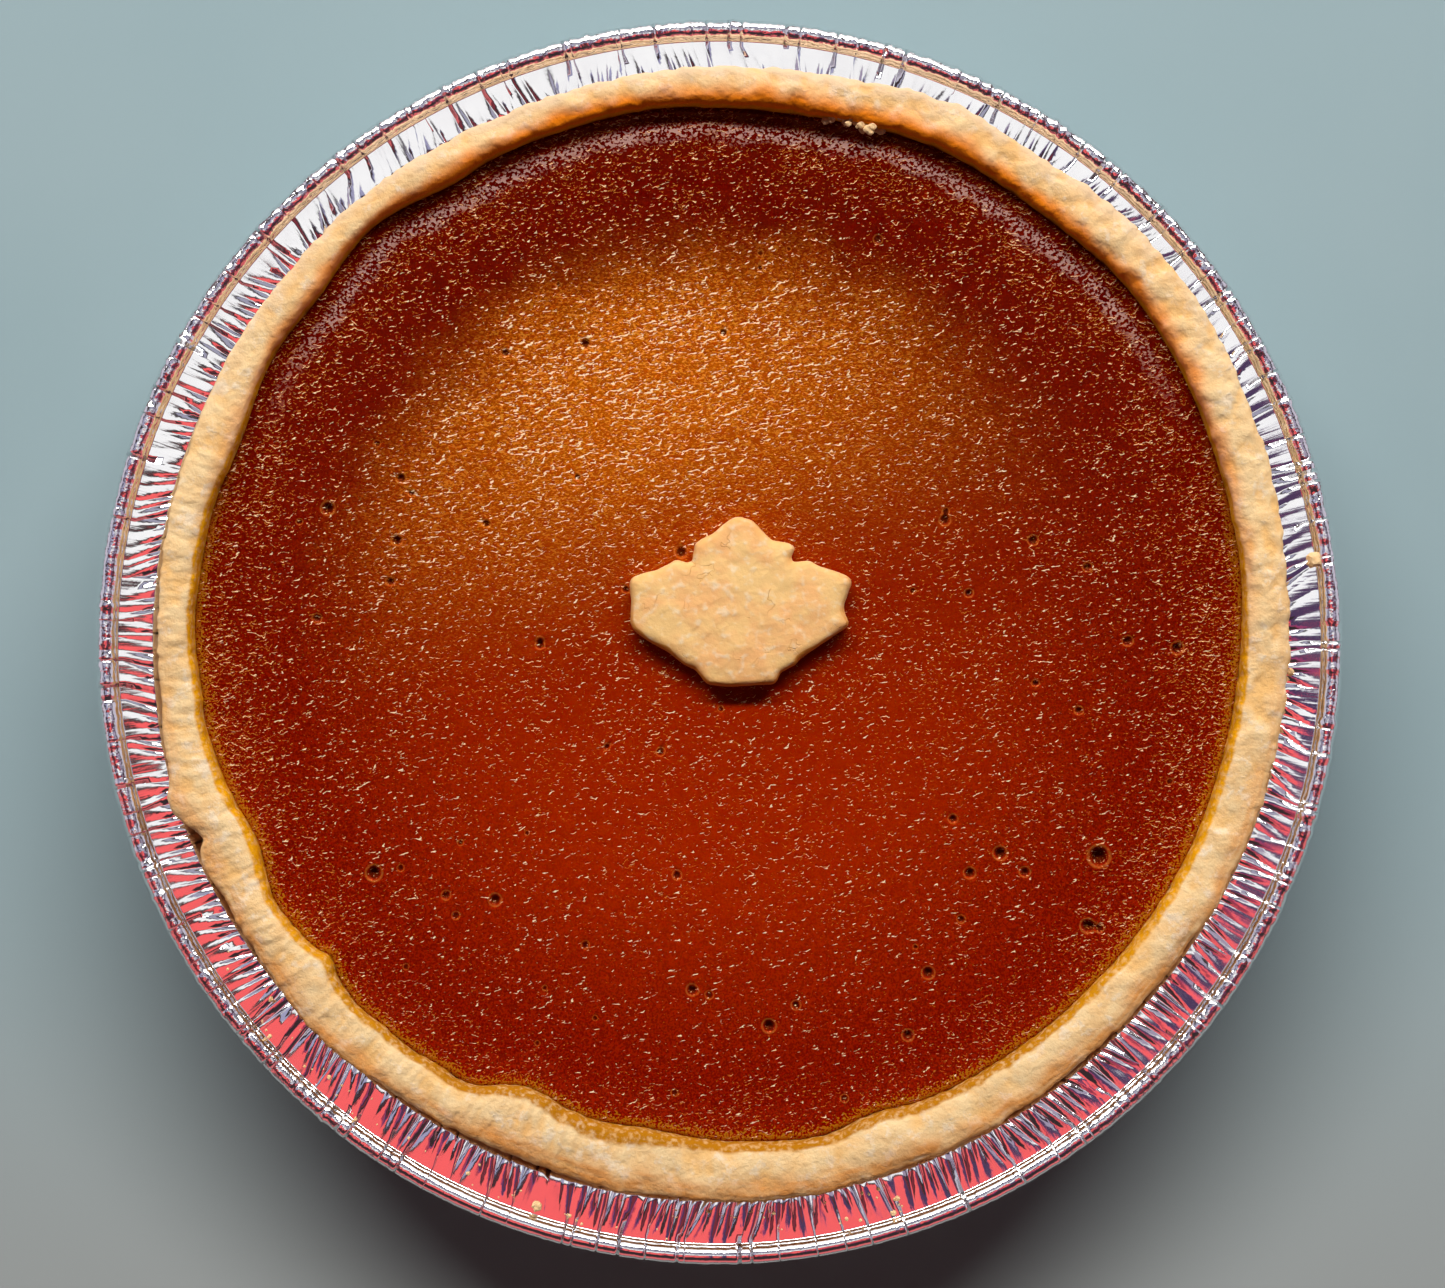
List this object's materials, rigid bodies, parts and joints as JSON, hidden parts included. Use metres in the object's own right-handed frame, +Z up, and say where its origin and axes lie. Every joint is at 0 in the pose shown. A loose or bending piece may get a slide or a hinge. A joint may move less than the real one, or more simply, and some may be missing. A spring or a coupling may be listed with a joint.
{
  "type": "pumpkin pie",
  "caption": "Whole round pumpkin pie in its pleated foil tin, with a short pastry rim, a flat glossy custard top and a pastry maple leaf near the middle.",
  "frame": {"origin": "middle of the foil tin's flat base, on the surface that it stands on", "axes": "+Z up through the pie, +Y towards the tip of the pastry leaf, +X to its right seen from above"},
  "size_m": [0.2442, 0.2442, 0.0332],
  "materials": {
    "foil": "bright thin foil, pressed and pleated",
    "crust": "baked short pastry, satin, flaky and mottled",
    "custard": "set pumpkin custard, glossy with fine pits",
    "leaf": "baked short pastry, satin, lightly blistered"
  },
  "bodies": {
    "root": {"foil_tin": "foil", "pastry_crust": "crust", "pumpkin_filling": "custard", "pastry_leaf": "leaf"}
  },
  "joints": []
}
